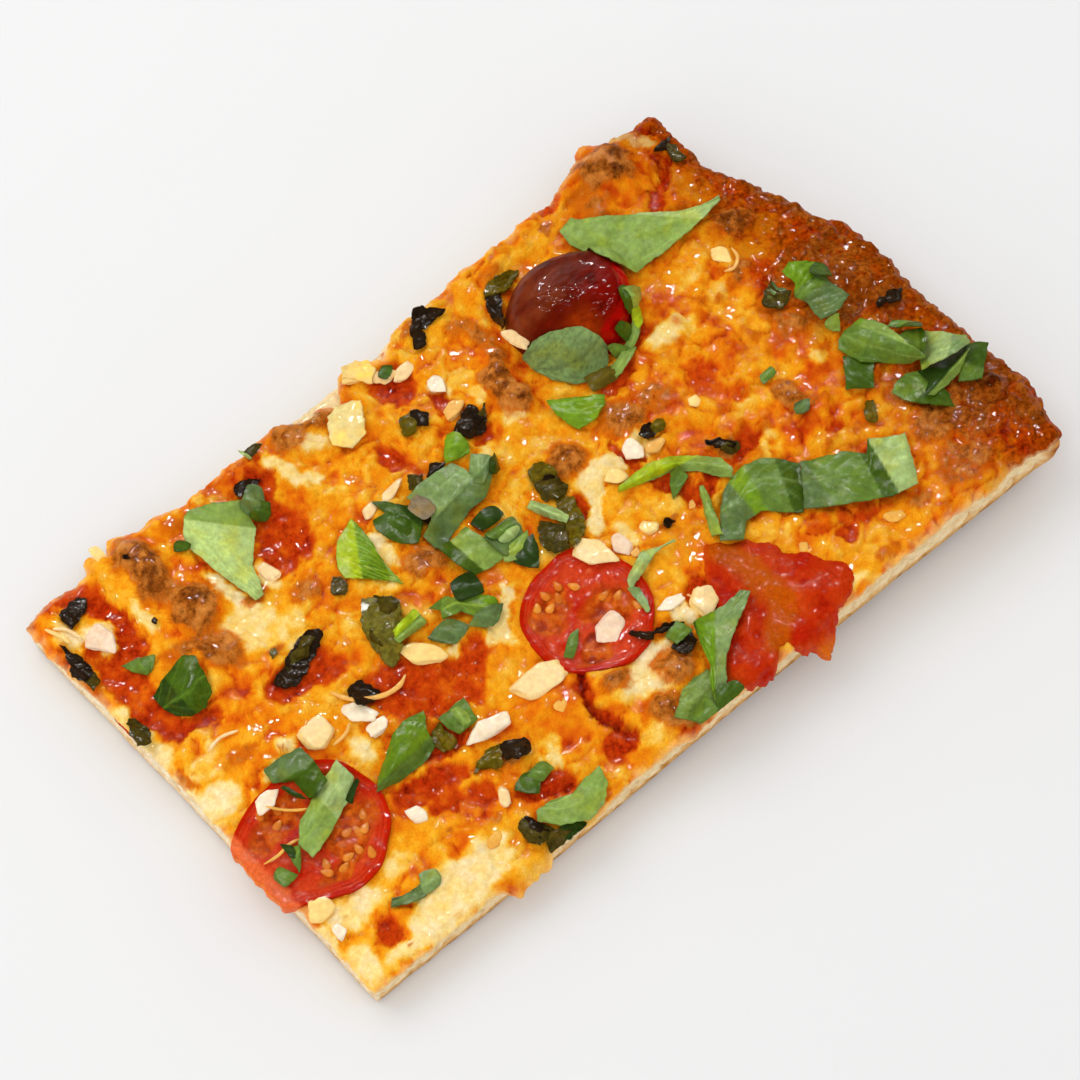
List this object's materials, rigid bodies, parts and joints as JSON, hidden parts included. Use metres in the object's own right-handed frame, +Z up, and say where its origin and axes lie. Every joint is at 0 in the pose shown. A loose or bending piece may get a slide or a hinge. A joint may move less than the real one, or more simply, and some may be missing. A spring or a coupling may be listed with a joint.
{
  "type": "pizza al taglio slice",
  "caption": "Rectangular slice of tray-baked pizza with melted cheese, tomato sauce, roasted cherry tomatoes, garlic and torn basil.",
  "frame": {"origin": "middle of the plan outline, on the flat underside", "axes": "+X along the slice towards its browned tray edge, +Y across it, +Z up out of the topping"},
  "size_m": [0.1802, 0.1137, 0.0222],
  "materials": {
    "dough": "open baked crumb on the cut sides, browned and dry underneath and along the tray edge",
    "tomato_sauce": "wet cooked tomato sauce, slightly grainy",
    "cheese": "melted, oily, blistered cheese, cream to orange, browned on the lumps and near the tray edge",
    "tomato_flesh": "wet roasted tomato flesh with a thin glossy skin edge",
    "tomato_skin": "roasted cherry tomato skin, dark red-brown and glossy",
    "garlic": "roasted chopped garlic, moist",
    "basil": "soft torn leaf, satin on top and paler underneath"
  },
  "bodies": {
    "root": {"dough": "dough", "tomato_sauce": "tomato_sauce", "cheese": "cheese", "tomato_slice_front": "tomato_flesh", "tomato_slice_middle": "tomato_flesh", "tomato_half": "tomato_skin", "tomato_chunk": "tomato_flesh", "garlic_1": "garlic", "garlic_2": "garlic", "garlic_3": "garlic", "garlic_4": "garlic", "garlic_5": "garlic", "basil_big_left": "basil", "basil_triangle": "basil", "basil_on_half": "basil", "basil_beside_half": "basil", "basil_dark_left": "basil", "basil_lime": "basil", "basil_centre": "basil", "basil_small_fold": "basil", "basil_mid": "basil", "basil_left_mid": "basil", "basil_on_front": "basil", "basil_front_top": "basil", "basil_beside_front": "basil", "basil_front_edge": "basil", "basil_fan": "basil", "basil_twist": "basil", "basil_long_a": "basil", "basil_long_b": "basil", "basil_curve": "basil", "basil_pile_a": "basil", "basil_pile_b": "basil", "basil_pile_c": "basil", "basil_pile_d": "basil", "basil_cluster": "basil"}
  },
  "joints": []
}
